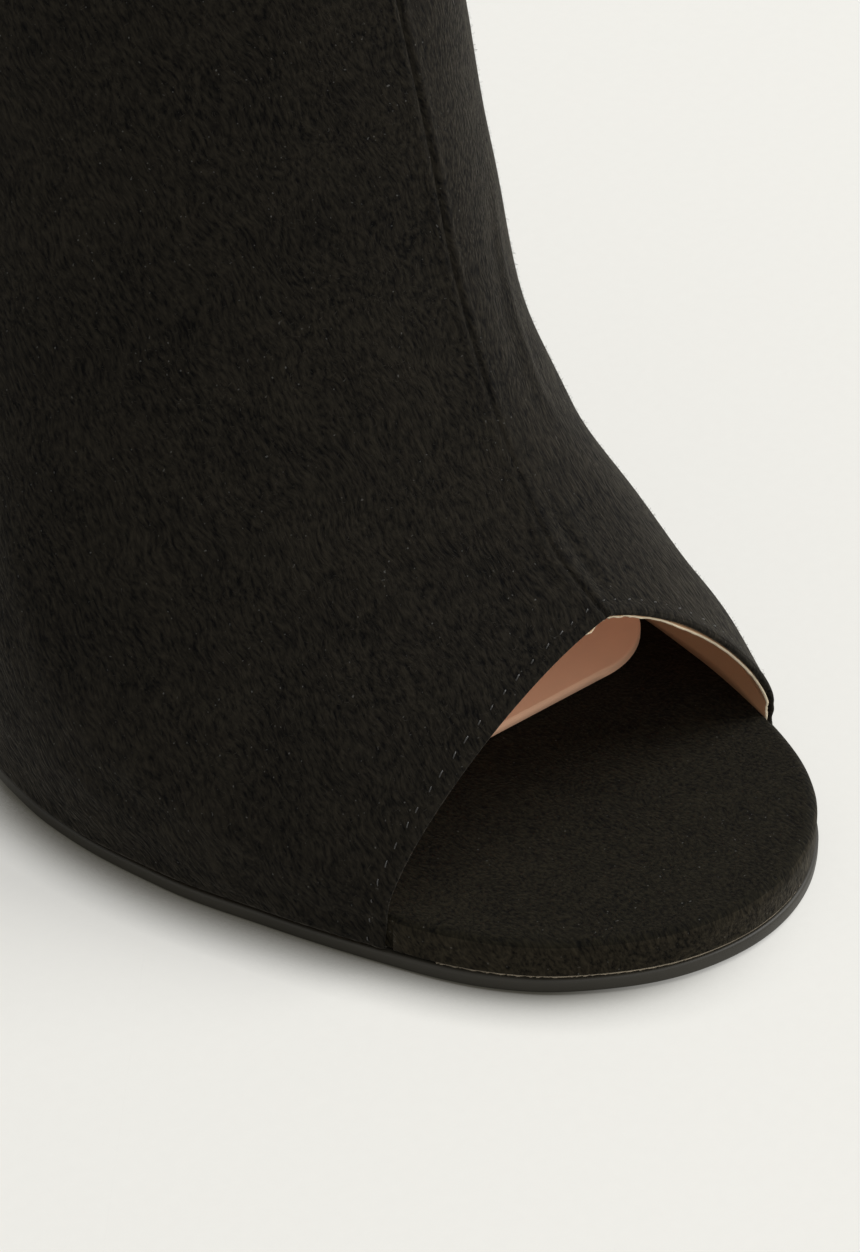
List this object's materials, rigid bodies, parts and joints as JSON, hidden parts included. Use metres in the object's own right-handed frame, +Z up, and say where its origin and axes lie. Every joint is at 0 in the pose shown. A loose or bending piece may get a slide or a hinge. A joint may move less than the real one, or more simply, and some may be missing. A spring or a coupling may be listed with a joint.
{
  "type": "peep-toe ankle boot with stiletto heel",
  "caption": "Ankle boot for a right foot in napped black cloth, with a round opening at the toe, a steep arch and a slender high heel.",
  "frame": {"origin": "bottom centre of the boot's bounding box, on the floor plane", "axes": "+X to the foot's inner side, +Y from the toe to the heel, +Z up"},
  "size_m": [0.0914, 0.2074, 0.184],
  "materials": {
    "black_suede": "short soft nap, brushed in patches",
    "footbed_suede": "short soft nap wrapped over the board",
    "heel_suede": "short soft nap stretched over the heel",
    "sole_rubber": "smooth satin edge",
    "pale_lining": "smooth satin",
    "top_piece": "hard smooth top piece"
  },
  "bodies": {
    "root": {"upper": "black_suede", "outsole": "sole_rubber", "insole": "footbed_suede", "sock_lining": "pale_lining", "heel": "heel_suede", "heel_tip": "top_piece"}
  },
  "joints": []
}
